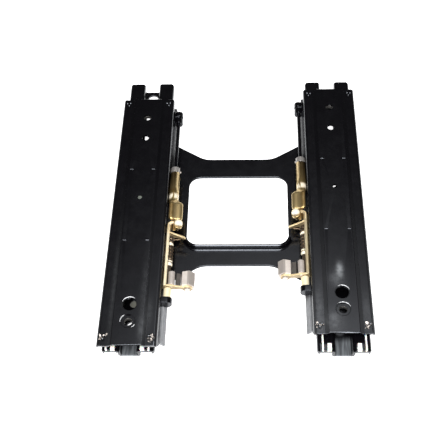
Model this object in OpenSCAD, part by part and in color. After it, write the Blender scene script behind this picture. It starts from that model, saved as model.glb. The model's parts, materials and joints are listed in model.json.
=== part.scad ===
// Pair of vehicle seat slides on one cross plate, each with a toothed latch on its inner side.
// X runs across the pair, +Y to the rear and +Z up; the origin is under the middle of the pair.

/* [Layout] */
// Distance between the two rail centre lines
rail_pitch = 218.5; // [190:0.5:300]
// Distance between two lock notches
notch_pitch = 14; // [12:0.5:18]
// Notches from mid travel at which the left upper rail stands
left_steps = -1.5; // [-4.5:1:4.5]
// Notches from mid travel at which the right upper rail stands
right_steps = -0.5; // [-4.5:1:4.5]
// Notches that the slide travels in all
travel_steps = 9; // [5:2:9]
// Gap between parts that move past each other
run_gap = 0.3; // [0.2:0.05:0.5]
// Gap between a pin and its bore, on the radius
pin_gap = 0.05; // [0.02:0.01:0.1]

/* [Upper rail] */
// Length of the upper rail
upper_len = 333.5; // [323.5:0.5:360]
// Place of the upper rail's middle, from the middle of its seat bolts
upper_mid_y = 1.75; // [0:0.25:3]
// Width of the upper rail
upper_w = 61.5; // [60.5:0.5:65]
// Height of the upper rail's top above the ground
rail_h = 32; // [31:0.5:36]
// Sheet thickness of the upper rail
upper_t = 2.5; // [2:0.1:2.8]
// Middle radius of the upper rail's bends
upper_bend = 2.2; // [2:0.1:3.5]
// Half width of the raised web
web_half = 15.5; // [13:0.5:16.5]
// Drop from the web to the shoulders
shoulder_drop = 1.8; // [0.8:0.1:2]
// Run of the step between web and shoulder
shoulder_run = 3.4; // [1.8:0.1:4]
// Height of the underside of the bottom lips
lip_z = 7; // [6.5:0.1:8]
// Width of the bottom lips
lip_w = 11.5; // [9:0.5:12.5]

/* [Seat bolts] */
// Distance between the two seat bolt holes
seat_hole_gap = 276; // [240:1:290]
// Diameter of a seat bolt hole
seat_hole_d = 9; // [8.5:0.1:11]
// Diameter of the dish round the front seat bolt hole
dish_d = 16; // [13:0.5:20]
// Depth of the dish
dish_depth = 1.3; // [0.5:0.1:1.6]
// Width across flats of a seat nut
seat_nut_af = 14; // [13:0.5:17]
// Height of a seat nut
seat_nut_h = 4; // [3:0.5:8]
// Thread hole of a seat nut
seat_nut_bore = 8.2; // [8:0.1:8.4]
// Place of the front access hole
access_y = -118; // [-122:1:-100]
// Diameter of the front access hole
access_d = 14; // [10:0.5:15]
// Depth of the broken edge round the front access hole
access_edge = 1; // [0.5:0.1:1.4]
// Place of the rear gauge hole
gauge_y = 106; // [90:1:120]
// Diameter of the rear gauge hole
gauge_d = 8; // [5:0.5:10]
// Place of the middle drain hole
drain_y = 18.7; // [10:0.1:30]
// Diameter of the middle drain hole
drain_d = 5; // [3:0.5:8]
// Place of the rear pair of embossed nibs
nib_rear_y = 59; // [50:1:70]
// Place of the front pair of embossed nibs
nib_front_y = -39; // [-50:1:-30]
// Distance of a nib's middle from the rail's centre line
nib_u = 12.4; // [9:0.1:12.6]
// Length of a nib
nib_len = 5.6; // [3:0.1:6]
// Rounding of a nib's top
nib_d = 2.4; // [1.5:0.1:3]
// Height of a nib over the web
nib_h = 0.7; // [0.3:0.1:1]
// Distance of the end crimps from the upper rail's ends
crimp_end = 9; // [8:0.5:12]
// Radius of the punch that made the crimps
crimp_r = 3; // [2.5:0.1:4]
// Depth of the crimps
crimp_depth = 1.1; // [0.6:0.1:1.4]
// How far the walls' front ends stay behind the web
wall_relief = 11; // [6:0.5:12]

/* [Lower rail] */
// Length of the lower rail
lower_len = 372; // [362:1:400]
// Sheet thickness of the lower rail
lower_t = 3; // [2.5:0.1:3.2]
// Middle radius of the lower rail's bends
lower_bend = 2.2; // [1.8:0.1:2.6]
// Inside width of the lower channel
channel_w = 17.5; // [16:0.5:20]
// Height of the top of the lower flanges
flange_z = 18; // [17.5:0.1:18.5]
// Width over the lower flanges
flange_w = 54.8; // [53.8:0.1:55.2]
// Height of the bottom edge of the turned down flange edges
flange_edge_z = 11.5; // [11:0.1:13]
// Radius of the flange corners
flange_corner = 3.5; // [2:0.5:5]
// How far the channel's front end stays behind the flanges
front_cut = 3; // [0:0.5:10]
// Width of a lock notch
notch_w = 7; // [6:0.1:8]
// Diameter of a floor bolt hole
floor_hole_d = 12; // [9:0.5:14]
// Place of the rear floor bolt holes
floor_rear_y = 175; // [160:1:177]
// Place of the front floor bolt holes
floor_front_y = -150; // [-175:1:-120]
// Width of the floor slot
slot_w = 12; // [8:0.5:14]
// Length of the floor slot
slot_len = 46; // [30:1:56]
// Place of the middle of the floor slot
slot_y = 126; // [110:1:135]
// Place of the middle floor hole
floor_mid_y = 38; // [20:1:60]
// Place of the small front floor hole
drip_y = -123; // [-130:1:-100]
// Diameter of the small front floor hole
drip_d = 9; // [6:0.5:12]

/* [Cross plate] */
// Sheet thickness of the cross plate
plate_t = 3; // [2:0.1:3.4]
// Half depth of the plate at its waist
plate_half = 75; // [70:1:85]
// Half length of the straight waist edge
waist_half = 40; // [30:1:45]
// Half depth of the plate at the rails
flare_half = 103.5; // [100:0.5:120]
// How far the flare's wide end stays from the rail
flare_land = 12; // [6:1:20]
// Radius at both ends of the flare
flare_r = 26; // [10:1:30]
// Half width of the window
window_x = 57; // [40:1:60]
// Half depth of the window
window_y = 49.2; // [35:0.1:52]
// Place of the window's middle along the plate
window_mid_y = -1.6; // [-3:0.1:3]
// Corner radius of the window
window_r = 13; // [8:0.5:20]
// Height of the window's upturned lip over the plate
window_lip_h = 5.5; // [3:0.5:7]
// Thickness of the window's upturned lip
window_lip_t = 2.5; // [1.5:0.1:3]
// How far the lip runs up the window's corners
window_lip_run = 10; // [4:0.5:12]
// Diameter of the two punch marks in the plate
dimple_d = 6; // [3:0.5:8]
// Depth of the punch marks
dimple_depth = 0.8; // [0.4:0.1:1.2]
// Place of the punch marks from the middle, across
dimple_x = 69; // [66:0.5:74]
// Place of the punch marks from the middle, along
dimple_y = -36; // [-60:1:60]
// Leg of the weld beads
weld_leg = 2.6; // [1.5:0.1:3]
// Length of a weld bead
weld_len = 34; // [20:1:36]
// Place of the middle of a weld bead from the plate's middle
weld_y = 82; // [60:1:86]

/* [Latch] */
// Distance of the latch shaft from the rail's centre line
shaft_u = 36.6; // [36.5:0.1:38]
// Height of the latch shaft
shaft_z = 18; // [17.8:0.1:18.4]
// Turn of the latch from locked to released
latch_turn = 14; // [12:0.5:15]
// Diameter of the pivot pin
pin_d = 4.6; // [4:0.1:4.8]
// Diameter of the pivot pin's front stub
stub_d = 8.4; // [6:0.1:8.6]
// Sheet thickness of the latch lever
lever_t = 1.4; // [1.2:0.1:1.5]
// Height of the latch lever's plate
lever_h = 8; // [6:0.1:9]
// How far the lever's plate reaches below the latch shaft
lever_below = 1; // [0.5:0.1:1.5]
// Place of the middle of the rear ear
rear_ear_y = -24; // [-27:0.5:-20]
// Place of the middle of the front ear
front_ear_y = -91.5; // [-94:0.5:-88]
// Thickness of the ears
ear_t = 2; // [1.5:0.1:2.4]
// Reach of the rear ear from the rail's centre line
rear_ear_u = 52.5; // [46:0.5:56]
// Reach of the front ear from the rail's centre line
front_ear_u = 60; // [50:0.5:62]
// Outer radius of the rolled end of the lever
curl_r = 6.4; // [5.5:0.1:7]
// Height of the rolled end of the lever
curl_h = 6; // [4:0.1:7]
// Slant of the rear ear towards the front
ear_slant = 14; // [0:1:18]
// Number of lock teeth
tooth_count = 3; // [2:1:3]
// Width of a lock tooth
tooth_w = 6.4; // [5:0.1:6.6]
// Thickness of a lock tooth
tooth_t = 3; // [2:0.1:3.2]
// Height of the underside of a locked tooth
tooth_z = 16.2; // [15.8:0.1:16.6]
// Distance of a tooth's tip from the rail's centre line
tooth_tip_u = 25.2; // [25.1:0.1:26]
// Place of the middle tooth
tooth_y = -49; // [-56:7:-42]

/* [Release tube] */
// Outside diameter of the release tube
tube_d = 11; // [9:0.1:11.1]
// Wall of the release tube
tube_wall = 1; // [0.8:0.1:1.5]
// Place of the tube's rear end
tube_rear_y = 62; // [50:1:66]
// Place of the tube's front end, where the tongue starts
tube_front_y = 22; // [16:1:28]
// Length of the bush in the tube's rear end
bush_len = 7; // [4:0.5:10]
// Length of the flattened end with its shoulder
tongue_len = 39; // [37:0.5:40]
// Length of the shoulder between the tube and its flattened end
tongue_shoulder = 8; // [4:0.5:10]
// Diameter of the folds along the flattened end's edges
fold_d = 5; // [4:0.1:6]
// Thickness of the flattened end between its folds
tongue_t = 3.6; // [2:0.1:4]
// Width that the flattened end gains towards the middle
tongue_step = 4.5; // [3:0.5:6]
// Diameter of the rivet's dome
rivet_d = 9; // [7:0.5:10]
// Diameter of the rivet's shank
rivet_shank_d = 4; // [3:0.1:5]
// Diameter of the rear rod
rod_d = 4; // [3:0.1:5]
// Diameter of the cross pin in the bush
cross_pin_d = 2.5; // [2:0.1:3]

/* [Link stud] */
// Distance of the link stud from the rail's centre line, locked
stud_u = 57; // [55:0.1:58]
// Height of the link stud, locked
stud_z = 22.2; // [22.1:0.1:23]
// Diameter of the link stud
stud_d = 6; // [5:0.5:7]
// Diameter of the eye that holds the stud in the front ear
stud_eye_d = 10; // [9:0.1:11]
// Width across flats of the long nut on the stud
stud_nut_af = 14; // [12:0.5:14]
// Length of the long nut
stud_nut_len = 17; // [14:0.5:19]
// Distance of the hook pin from the rail's centre line, locked
hook_u = 39.4; // [39.3:0.1:41]
// Height of the hook pin, locked
hook_z = 23.2; // [23.1:0.1:23.3]
// Diameter of the hook pin
hook_d = 7; // [5:0.1:7]
// Diameter of the hook pin's riveted shank
hook_shank_d = 3; // [2.5:0.1:3.2]
// Length of the hook pin behind the front ear
hook_len = 16; // [10:0.5:18]

/* [Brackets, skirt and spring] */
// Place of the front ring bracket's middle
ring_y = -108; // [-112:0.5:-106]
// Width of the front ring bracket
ring_w = 7; // [6:0.5:10]
// Outside diameter of the front ring bracket
ring_d = 11.4; // [10.5:0.1:11.6]
// Place of the rear bracket's middle
rear_bracket_y = 147; // [130:1:152]
// Length of the rear bracket
rear_bracket_len = 17; // [12:0.5:20]
// Diameter of the rear bracket's lobes
lobe_d = 10; // [8:0.5:11]
// Thickness of the bracket feet
foot_t = 1.6; // [1.2:0.1:1.8]
// Sheet thickness of the side skirt
skirt_t = 2; // [1.5:0.1:2.2]
// Height of the skirt's top edge
skirt_top_z = 13.5; // [12.5:0.1:13.6]
// Height of the skirt's bottom edge
skirt_low_z = 6.2; // [5:0.1:7]
// Reach of the skirt from the upper rail's wall
skirt_reach = 5; // [4:0.1:8]
// Place of the skirt's middle
skirt_y = 7.5; // [0:0.5:7.5]
// Length of the skirt
skirt_len = 322; // [290:1:330]
// Length of the slanting cut at the skirt's rear end
skirt_slant = 22; // [10:1:40]
// Wire diameter of the latch spring
wire_d = 1.1; // [1:0.1:1.2]
// Turns of the latch spring
spring_turns = 8; // [5:1:10]
// Length of the latch spring's coil
coil_len = 34; // [20:1:36]

/* [Rollers and glides] */
// Diameter of the upper track rollers
roller_d = 9.4; // [8.8:0.05:9.5]
// Length of a roller
roller_len = 4.2; // [3.5:0.1:4.3]
// Places of the rollers in their cage, from its middle
roller_outer_y = 112; // [104:1:114]
// Distance between two rollers of a pair
roller_gap = 15; // [13:0.5:18]
// Length of the roller cages
cage_len = 240; // [236:1:244]
// Thickness of the cage's side bar
cage_bar = 2.2; // [1.5:0.1:2.4]
// Height of the cages
cage_h = 5.4; // [4:0.1:6]
// Width of a cage finger
finger_w = 3; // [2:0.1:4]
// Diameter of the lower track balls
ball_d = 5; // [4.6:0.05:5.1]
// Distance of the lower track balls from the rail's centre line
ball_u = 20.7; // [20.4:0.1:21]
// Distance between two lower track balls
ball_gap = 76; // [50:1:80]
// Lower track balls in a row
ball_count = 4; // [2:1:4]
// Diameter of the spacers between the balls
spacer_d = 3.6; // [3:0.1:4.2]
// Length of the nylon end glides
glide_len = 17; // [12:0.5:20]
// Height of the end glides over the flange
glide_h = 4.5; // [3:0.5:6]
// Width of an end glide
glide_w = 9.5; // [8:0.1:11]
// Gap between an end glide and the channel's wall
glide_gap = 1.2; // [0.5:0.1:2]
// Width of the long rib of an end glide
glide_rib = 1.6; // [1.2:0.1:3]
// Width of the short block of an end glide
glide_block = 4.2; // [3:0.1:6]
// Length of the short block of an end glide
glide_block_len = 7.5; // [6:0.5:12]
// Diameter of the end glides' pegs
glide_peg_d = 4; // [3:0.1:4.5]

/* [Hidden] */
$fn = 48;
eps = 0.01;
bend_steps = 8;

black_paint = "#17181b";
yellow_zinc = "#c9a45a";
bright_zinc = "#b9b7b2";
plain_zinc = "#8d9094";
spring_steel = "#8f8a80";
white_nylon = "#e9e8e2";

// Upper rail section, along the middle of the sheet
wall_u = upper_w / 2 - upper_t / 2;
wall_out = upper_w / 2;
web_mid_z = rail_h - upper_t / 2;
shoulder_mid_z = web_mid_z - shoulder_drop;
shoulder_under_z = shoulder_mid_z - upper_t / 2;
lip_mid_z = lip_z + upper_t / 2;
lip_tip_u = wall_out - lip_w;
upper_side = [
  [lip_tip_u, lip_mid_z], [wall_u, lip_mid_z], [wall_u, shoulder_mid_z],
  [web_half + shoulder_run, shoulder_mid_z], [web_half, web_mid_z]
];

// Places of a crimp's three dents round its middle
crimp_dents = [[-1.9, 1.4, 0], [1.7, 1.9, 0], [0.4, -1.8, 0]];

// Lower rail section, along the middle of the sheet
lower_front_y = -lower_len / 2;
channel_half = channel_w / 2;
channel_u = channel_half + lower_t / 2;
channel_out = channel_half + lower_t;
flange_mid_z = flange_z - lower_t / 2;
flange_edge_u = flange_w / 2 - lower_t / 2;
flange_edge_in = flange_w / 2 - lower_t;
lower_side = [
  [flange_edge_u, flange_edge_z], [flange_edge_u, flange_mid_z],
  [channel_u, flange_mid_z], [channel_u, lower_t / 2]
];

// Travel of the slide, and the notches that the teeth can meet on it
left_shift = left_steps * notch_pitch;
right_shift = right_steps * notch_pitch;
notch_span = travel_steps + tooth_count - 1;

// Latch lever: its plate stands beside the wall, just outside the spring
spring_id = pin_d + 2 * run_gap;
coil_r = spring_id / 2 + wire_d / 2;
lever_in = shaft_u - spring_id / 2 - wire_d - run_gap;
lever_out = lever_in - lever_t;
lever_low = shaft_z - lever_below;
lever_top = lever_low + lever_h;
curl_u = lever_out + curl_r;
curl_y = rear_ear_y + ear_t + 8;
curl_end_u = curl_u + curl_r;

// Flattened tube end and its rivet, under a tab at the curl's free end
tab_t = 1.5;
tongue_z = lever_low + curl_h;
tab_low = tongue_z - tab_t;
tab_w = rivet_d - 1;
fold_z = tongue_z + fold_d / 2;
tongue_front_y = tube_front_y - tongue_len;
fold_out_u = shaft_u - tube_d / 2 + fold_d / 2;
fold_in_u = shaft_u + tube_d / 2 + tongue_step - fold_d / 2;
rivet_u = curl_end_u - 1.5;
rivet_y = tongue_front_y + rivet_d / 2;
fold_front_y = rivet_y + rivet_d / 2 + run_gap + fold_d / 2;

// Shaft ends: the thick stub ends inside the ring, and the bracket's lobes stand on a thinner core
stub_end_y = ring_y - ring_w / 2 + 2;
rear_eye_y = rear_ear_y - (shaft_u - lever_out) * tan(ear_slant);
pin_eye_d = pin_d + 4.4;
cross_pin_out = 0.9;
lobe_share = 0.4;
core_share = 0.62;

// Stop pad behind the front ear, between the hook pin and the long nut
pad_u = hook_u + hook_d / 2 + 1.4;
pad_w = 4.8;
pad_h = 8;
pad_len = 15;

// Tracks between the rails
track_u = web_half + shoulder_run + 0.2;
roller_z = (flange_z + shoulder_under_z) / 2;
cage_bar_u = track_u - run_gap - cage_bar;
ball_z = (lip_z + upper_t + flange_z - lower_t) / 2;

// Skirt section, along the middle of the sheet
skirt_u = wall_out + skirt_t / 2;
skirt_knee_z = skirt_top_z - 3;
skirt_path = [
  [skirt_u, skirt_top_z], [skirt_u, skirt_knee_z], [wall_out + skirt_reach, skirt_low_z]
];

function unit(v) = v / norm(v);
function left_of(v) = [-v[1], v[0]];
function flipped(path) = [for (i = [len(path) - 1 : -1 : 0]) [-path[i][0], path[i][1]]];
function turn(a, b) = atan2(a[0] * b[1] - a[1] * b[0], a * b);

// How far a bend of radius r eats into the straights at corner i
function bend_cut(path, r, i) = r * tan(abs(turn(path[i] - path[i - 1], path[i + 1] - path[i])) / 2);

// Points round corner i of a path, on the side that lies off from the path's middle line
function bend_points(path, r, off, i) =
  let (
    before = unit(path[i] - path[i - 1]),
    bend = turn(before, path[i + 1] - path[i]),
    start = path[i] - before * bend_cut(path, r, i),
    centre = start + left_of(before) * sign(bend) * r,
    spoke = start + left_of(before) * off - centre
  )
  [for (k = [0 : bend_steps]) let (a = bend * k / bend_steps)
    centre + [spoke[0] * cos(a) - spoke[1] * sin(a), spoke[0] * sin(a) + spoke[1] * cos(a)]];

// One face of a folded sheet, from its first end to its last
function sheet_face(path, r, off) =
  let (
    n = len(path),
    first = left_of(unit(path[1] - path[0])) * off,
    last = left_of(unit(path[n - 1] - path[n - 2])) * off
  )
  concat(
    [path[0] + first],
    [for (i = [1 : n - 2]) each bend_points(path, r, off, i)],
    [path[n - 1] + last]
  );

function reversed(list) = [for (i = [len(list) - 1 : -1 : 0]) list[i]];

// A folded sheet's section: straights of thickness t joined by bends of middle radius r
module sheet_section(path, t, r) {
  polygon(concat(sheet_face(path, r, t / 2), reversed(sheet_face(path, r, -t / 2))));
}

// Draws a section given as (across, height) and runs it along Y
module along_y(length) {
  rotate([90, 0, 0]) linear_extrude(length, center = true) children();
}

module rod_y(d, y0, y1) {
  translate([0, y0, 0]) rotate([-90, 0, 0]) cylinder(d = d, h = y1 - y0);
}

module rod_x(d, x0, x1) {
  translate([x0, 0, 0]) rotate([0, 90, 0]) cylinder(d = d, h = x1 - x0);
}

module drill_z(d, y, z0, z1) {
  translate([0, y, z0]) cylinder(d = d, h = z1 - z0);
}

module hex_nut(af, height, bore) {
  difference() {
    cylinder(d = af / cos(30), h = height, $fn = 6);
    translate([0, 0, -1]) cylinder(d = bore, h = height + 2);
  }
}

module both_sides() {
  children();
  mirror([1, 0, 0]) children();
}

// Places a left hand piece on either rail and moves it with the upper rail
module left_side(shift = 0) {
  translate([-rail_pitch / 2, shift, 0]) children();
}

module right_side(shift = 0) {
  mirror([1, 0, 0]) left_side(shift) children();
}

// Turns a piece that is drawn locked to the released place in which the part stands
module released() {
  translate([shaft_u, 0, shaft_z]) rotate([0, latch_turn, 0]) translate([-shaft_u, 0, -shaft_z]) children();
}

module at_shaft() {
  translate([shaft_u, 0, shaft_z]) children();
}

// Lower rail
module lower_rail() {
  corner_x = flange_w / 2 - flange_corner;
  corner_y = lower_len / 2 - flange_corner;
  color(black_paint) difference() {
    along_y(lower_len) sheet_section(concat(lower_side, flipped(lower_side)), lower_t, lower_bend);
    for (sx = [-1, 1]) for (sy = [-1, 1])
      translate([sx * corner_x, sy * corner_y, flange_edge_z - 1]) flange_round(sx, sy);
    for (i = [0 : notch_span]) translate([0, tooth_y + (i - notch_span / 2) * notch_pitch, 0])
      lock_notch();
    drill_z(floor_hole_d, floor_rear_y, -1, lower_t + 1);
    drill_z(floor_hole_d, floor_front_y, -1, lower_t + 1);
    drill_z(floor_hole_d, floor_mid_y, -1, lower_t + 1);
    drill_z(drip_d, drip_y, -1, lower_t + 1);
    floor_slot();
    translate([-channel_out - eps, lower_front_y - 1, -1])
      cube([2 * channel_out + 2 * eps, front_cut + 1, flange_z - lower_t + 1]);
    both_sides() translate([glide_peg_u(), glide_y(), flange_z - lower_t - 1])
      cylinder(d = glide_peg_d + 2 * pin_gap, h = lower_t + 2);
  }
}

module flange_round(sx, sy) {
  size = flange_corner + 1;
  difference() {
    translate([sx > 0 ? 0 : -size, sy > 0 ? 0 : -size, 0]) cube([size, size, flange_z]);
    translate([0, 0, -1]) cylinder(r = flange_corner, h = flange_z + 2);
  }
}

module lock_notch() {
  cut_u = flange_edge_in - run_gap;
  translate([cut_u, -notch_w / 2, flange_edge_z - 1])
    cube([flange_w / 2 - cut_u + 1, notch_w, flange_z - flange_edge_z + 2]);
}

module floor_slot() {
  half = slot_len / 2 - slot_w / 2;
  drill_z(slot_w, slot_y - half, -1, lower_t + 1);
  drill_z(slot_w, slot_y + half, -1, lower_t + 1);
  translate([-slot_w / 2, slot_y - half, -1]) cube([slot_w, 2 * half, lower_t + 2]);
}

// Cross plate
module plate_window(grow) {
  half_x = window_x - window_r;
  half_y = window_y - window_r;
  translate([0, window_mid_y]) {
    square([2 * half_x, 2 * (window_y + grow)], center = true);
    square([2 * (window_x + grow), 2 * half_y], center = true);
    for (sx = [-1, 1]) for (sy = [-1, 1]) translate([sx * half_x, sy * half_y]) circle(window_r + grow);
  }
}

// The strip that stands up along the window's front edge and into both corners
module window_lip() {
  reach = window_lip_run + window_lip_t;
  linear_extrude(window_lip_h) intersection() {
    difference() {
      plate_window(window_lip_t);
      plate_window(0);
    }
    translate([-window_x - window_lip_t, window_mid_y - window_y - window_lip_t])
      square([2 * (window_x + window_lip_t), reach]);
  }
}

module plate_outline() {
  rail_x = rail_pitch / 2 - channel_out;
  land_x = rail_x - flare_land;
  middle = [0, plate_half];
  waist = [waist_half, plate_half];
  flare = [land_x, flare_half];
  edge = [rail_x, flare_half];
  quarter = sheet_face([middle, waist, flare, edge], flare_r, 0);
  half = concat([for (p = reversed(quarter)) [-p[0], p[1]]], quarter);
  polygon(concat(half, [for (p = reversed(half)) [p[0], -p[1]]]));
}

module cross_plate() {
  dimple_r = (dimple_d * dimple_d / 4 + dimple_depth * dimple_depth) / (2 * dimple_depth);
  color(black_paint) {
    difference() {
      linear_extrude(plate_t) difference() {
        plate_outline();
        plate_window(0);
      }
      both_sides() translate([dimple_x, dimple_y, plate_t + dimple_r - dimple_depth]) sphere(dimple_r);
    }
    translate([0, 0, plate_t - eps]) window_lip();
  }
}

module plate_welds() {
  color(black_paint) both_sides() for (s = [-1, 1])
    translate([rail_pitch / 2 - channel_out, s * weld_y, plate_t]) along_y(weld_len)
      polygon([[0, 0], [-weld_leg, 0], [0, weld_leg]]);
}

// Nylon glides at the front end of the lower flanges
function glide_y() = lower_front_y + glide_block_len / 2;
function glide_peg_u() = channel_out + glide_gap + glide_block / 2;

module end_glides() {
  color(white_nylon) for (sx = [-1, 1]) translate([sx * rail_pitch / 2, 0, 0]) both_sides() end_glide();
}

// A fork of nylon: one long rib, one short pegged block and a bridge between them at the front
module end_glide() {
  bridge_h = glide_h / 3;
  translate([channel_out + glide_gap, lower_front_y, flange_z]) {
    cube([glide_block, glide_block_len, glide_h]);
    translate([glide_w - glide_rib, 0, 0]) cube([glide_rib, glide_len, glide_h]);
    cube([glide_w, glide_rib, bridge_h]);
  }
  translate([glide_peg_u(), glide_y(), flange_z - lower_t]) cylinder(d = glide_peg_d, h = lower_t + bridge_h);
}

// Upper rail
crimp_u = (web_half + shoulder_run + wall_u) / 2;
crimp_y = upper_len / 2 - crimp_end;

module upper_rail() {
  slot_rise = (shaft_u - wall_out) * sin(latch_turn) + upper_t;
  window_low = tooth_z - run_gap;
  window_top = tooth_z + tooth_t + slot_rise;
  shoulder_top = rail_h - shoulder_drop;
  color(black_paint) difference() {
    union() {
      translate([0, upper_mid_y, 0])
        along_y(upper_len) sheet_section(concat(upper_side, flipped(upper_side)), upper_t, upper_bend);
      for (sx = [-1, 1]) for (y = [nib_rear_y, nib_front_y])
        translate([sx * nib_u, y, rail_h + nib_h - nib_d / 2]) nib();
    }
    for (sx = [-1, 1]) for (sy = [-1, 1]) for (dent = crimp_dents)
      translate([sx * crimp_u, upper_mid_y + sy * crimp_y, shoulder_top + crimp_r - crimp_depth])
        translate(dent) sphere(crimp_r);
    translate([-upper_w, upper_mid_y - upper_len / 2 - 1, 0])
      cube([2 * upper_w, wall_relief + 1, shoulder_mid_z - upper_bend]);
    for (s = [-1, 1]) drill_z(seat_hole_d, s * seat_hole_gap / 2, rail_h - upper_t - 1, rail_h + 1);
    translate([0, -seat_hole_gap / 2, rail_h - dish_depth])
      cylinder(d1 = dish_d - 2 * dish_depth, d2 = dish_d, h = dish_depth + eps);
    drill_z(access_d, access_y, rail_h - upper_t - 1, rail_h + 1);
    translate([0, access_y, rail_h - access_edge])
      cylinder(d1 = access_d, d2 = access_d + 2 * access_edge, h = access_edge + eps);
    drill_z(gauge_d, gauge_y, rail_h - upper_t - 1, rail_h + 1);
    drill_z(drain_d, drain_y, rail_h - upper_t - 1, rail_h + 1);
    for (i = [0 : tooth_count - 1])
      translate([wall_out - upper_t - 1, tooth_place(i) - notch_w / 2, window_low])
        cube([upper_t + 2, notch_w, window_top - window_low]);
  }
}

// A small bar pressed up out of the web, round at its ends
module nib() {
  half = (nib_len - nib_d) / 2;
  rod_x(nib_d, -half, half);
  for (s = [-1, 1]) translate([s * half, 0, 0]) sphere(d = nib_d);
}

// The sheet pushed down under a crimp, kept inside the shoulder's thickness above
function tooth_place(i) = tooth_y + (i - (tooth_count - 1) / 2) * notch_pitch;

module seat_nuts() {
  color(bright_zinc) for (s = [-1, 1])
    translate([0, s * seat_hole_gap / 2, rail_h - upper_t - seat_nut_h])
      hex_nut(seat_nut_af, seat_nut_h, seat_nut_bore);
}

module side_skirt() {
  rear = skirt_len / 2;
  color(plain_zinc) translate([0, skirt_y, 0]) difference() {
    along_y(skirt_len) sheet_section(skirt_path, skirt_t, upper_bend);
    translate([0, 0, skirt_low_z - skirt_t]) linear_extrude(skirt_top_z - skirt_low_z + 2 * skirt_t) polygon([
      [wall_out + skirt_t, rear + 1], [wall_out + skirt_t, rear],
      [wall_out + skirt_reach + skirt_t, rear - skirt_slant], [wall_out + skirt_reach + skirt_t, rear + 1]
    ]);
  }
}

// Brackets that carry the latch shaft
module bracket_foot(y, length, z0, z1) {
  translate([wall_out, y - length / 2, z0]) cube([foot_t, length, z1 - z0]);
}

module front_ring() {
  color(black_paint) difference() {
    union() {
      at_shaft() rod_y(ring_d, ring_y - ring_w / 2, ring_y + ring_w / 2);
      bracket_foot(ring_y, ring_w, skirt_top_z + run_gap, shaft_z + ring_d / 2);
      translate([wall_out, ring_y - ring_w / 2, shaft_z]) cube([shaft_u - wall_out, ring_w, ring_d / 2]);
    }
    at_shaft() rod_y(stub_d + 2 * pin_gap, stub_end_y - pin_gap, ring_y + ring_w);
  }
}

module rear_bracket() {
  lobe_w = rear_bracket_len * lobe_share;
  core_d = lobe_d * core_share;
  y0 = rear_bracket_y - rear_bracket_len / 2;
  y1 = rear_bracket_y + rear_bracket_len / 2;
  color(black_paint) difference() {
    union() {
      at_shaft() rod_y(lobe_d, y0, y0 + lobe_w);
      at_shaft() rod_y(lobe_d, y1 - lobe_w, y1);
      at_shaft() rod_y(core_d, y0, y1);
      bracket_foot(rear_bracket_y, rear_bracket_len, skirt_top_z + run_gap, shaft_z + lobe_d / 2);
      translate([wall_out, y0, shaft_z]) cube([shaft_u - wall_out, rear_bracket_len, core_d / 2]);
    }
    at_shaft() rod_y(rod_d + 2 * pin_gap, y0 - 1, y1 + 1);
  }
}

// Latch lever, drawn locked: teeth level in the notches, ears level
module latch_lever() {
  plate_rear = curl_y;
  plate_front = front_ear_y - ear_t / 2;
  color(yellow_zinc) released() difference() {
    union() {
      translate([lever_out, plate_front, lever_low]) cube([lever_t, plate_rear - plate_front, lever_h]);
      lever_ear(rear_ear_y, rear_ear_u, ear_slant);
      lever_ear(front_ear_y, front_ear_u, 0);
      translate([stud_u, 0, stud_z]) rod_y(stud_eye_d, front_ear_y - ear_t / 2, front_ear_y + ear_t / 2);
      for (y = [front_ear_y, rear_eye_y]) at_shaft() rod_y(pin_eye_d, y - ear_t / 2, y + ear_t / 2);
      for (i = [0 : tooth_count - 1])
        translate([tooth_tip_u, tooth_place(i) - tooth_w / 2, tooth_z])
          cube([lever_out - tooth_tip_u + eps, tooth_w, tooth_t]);
      lever_curl();
    }
    at_shaft() rod_y(pin_d + 2 * pin_gap, front_ear_y - ear_t, rear_ear_y + ear_t);
    rivet_bore(rivet_shank_d + 2 * pin_gap);
    front_ear_bore(stud_u, stud_z, stud_d);
    front_ear_bore(hook_u, hook_z, hook_shank_d);
  }
}

module front_ear_bore(u, z, d) {
  translate([u, 0, z]) rod_y(d + 2 * pin_gap, front_ear_y - ear_t, front_ear_y + ear_t);
}

// An ear turned in from the plate, tapering to its tip
module lever_ear(y, reach, slant) {
  tip_h = lever_h * 0.45;
  length = reach - lever_out;
  translate([lever_out, y, 0]) rotate(-slant) along_y(ear_t) polygon([
    [0, lever_low], [length - tip_h / 2, lever_top - tip_h], [length, lever_top - tip_h / 2],
    [length - tip_h / 2, lever_top], [0, lever_top]
  ]);
}

// The plate's rear end rolled round into a half eye, with a tab for the tongue's rivet
module lever_curl() {
  translate([curl_u, curl_y, lever_low]) rotate_extrude(angle = 180)
    translate([curl_r - lever_t, 0]) square([lever_t, curl_h]);
  translate([curl_end_u - lever_t, rivet_y - tab_w / 2, lever_low])
    cube([lever_t, curl_y - rivet_y + tab_w / 2 + eps, curl_h]);
  translate([rivet_u - tab_w / 2, rivet_y - tab_w / 2, tab_low]) cube([tab_w, tab_w, tab_t]);
}

module rivet_bore(d) {
  translate([rivet_u, rivet_y, tab_low - eps]) cylinder(d = d, h = tongue_t + 2 * tab_t);
}

module pivot_pin() {
  shoulder_y = front_ear_y - ear_t / 2 - pin_gap;
  color(yellow_zinc) released() at_shaft() {
    rod_y(pin_d, shoulder_y, rear_ear_y + ear_t / 2 + 2);
    rod_y(stub_d, stub_end_y, shoulder_y);
  }
}

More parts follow.
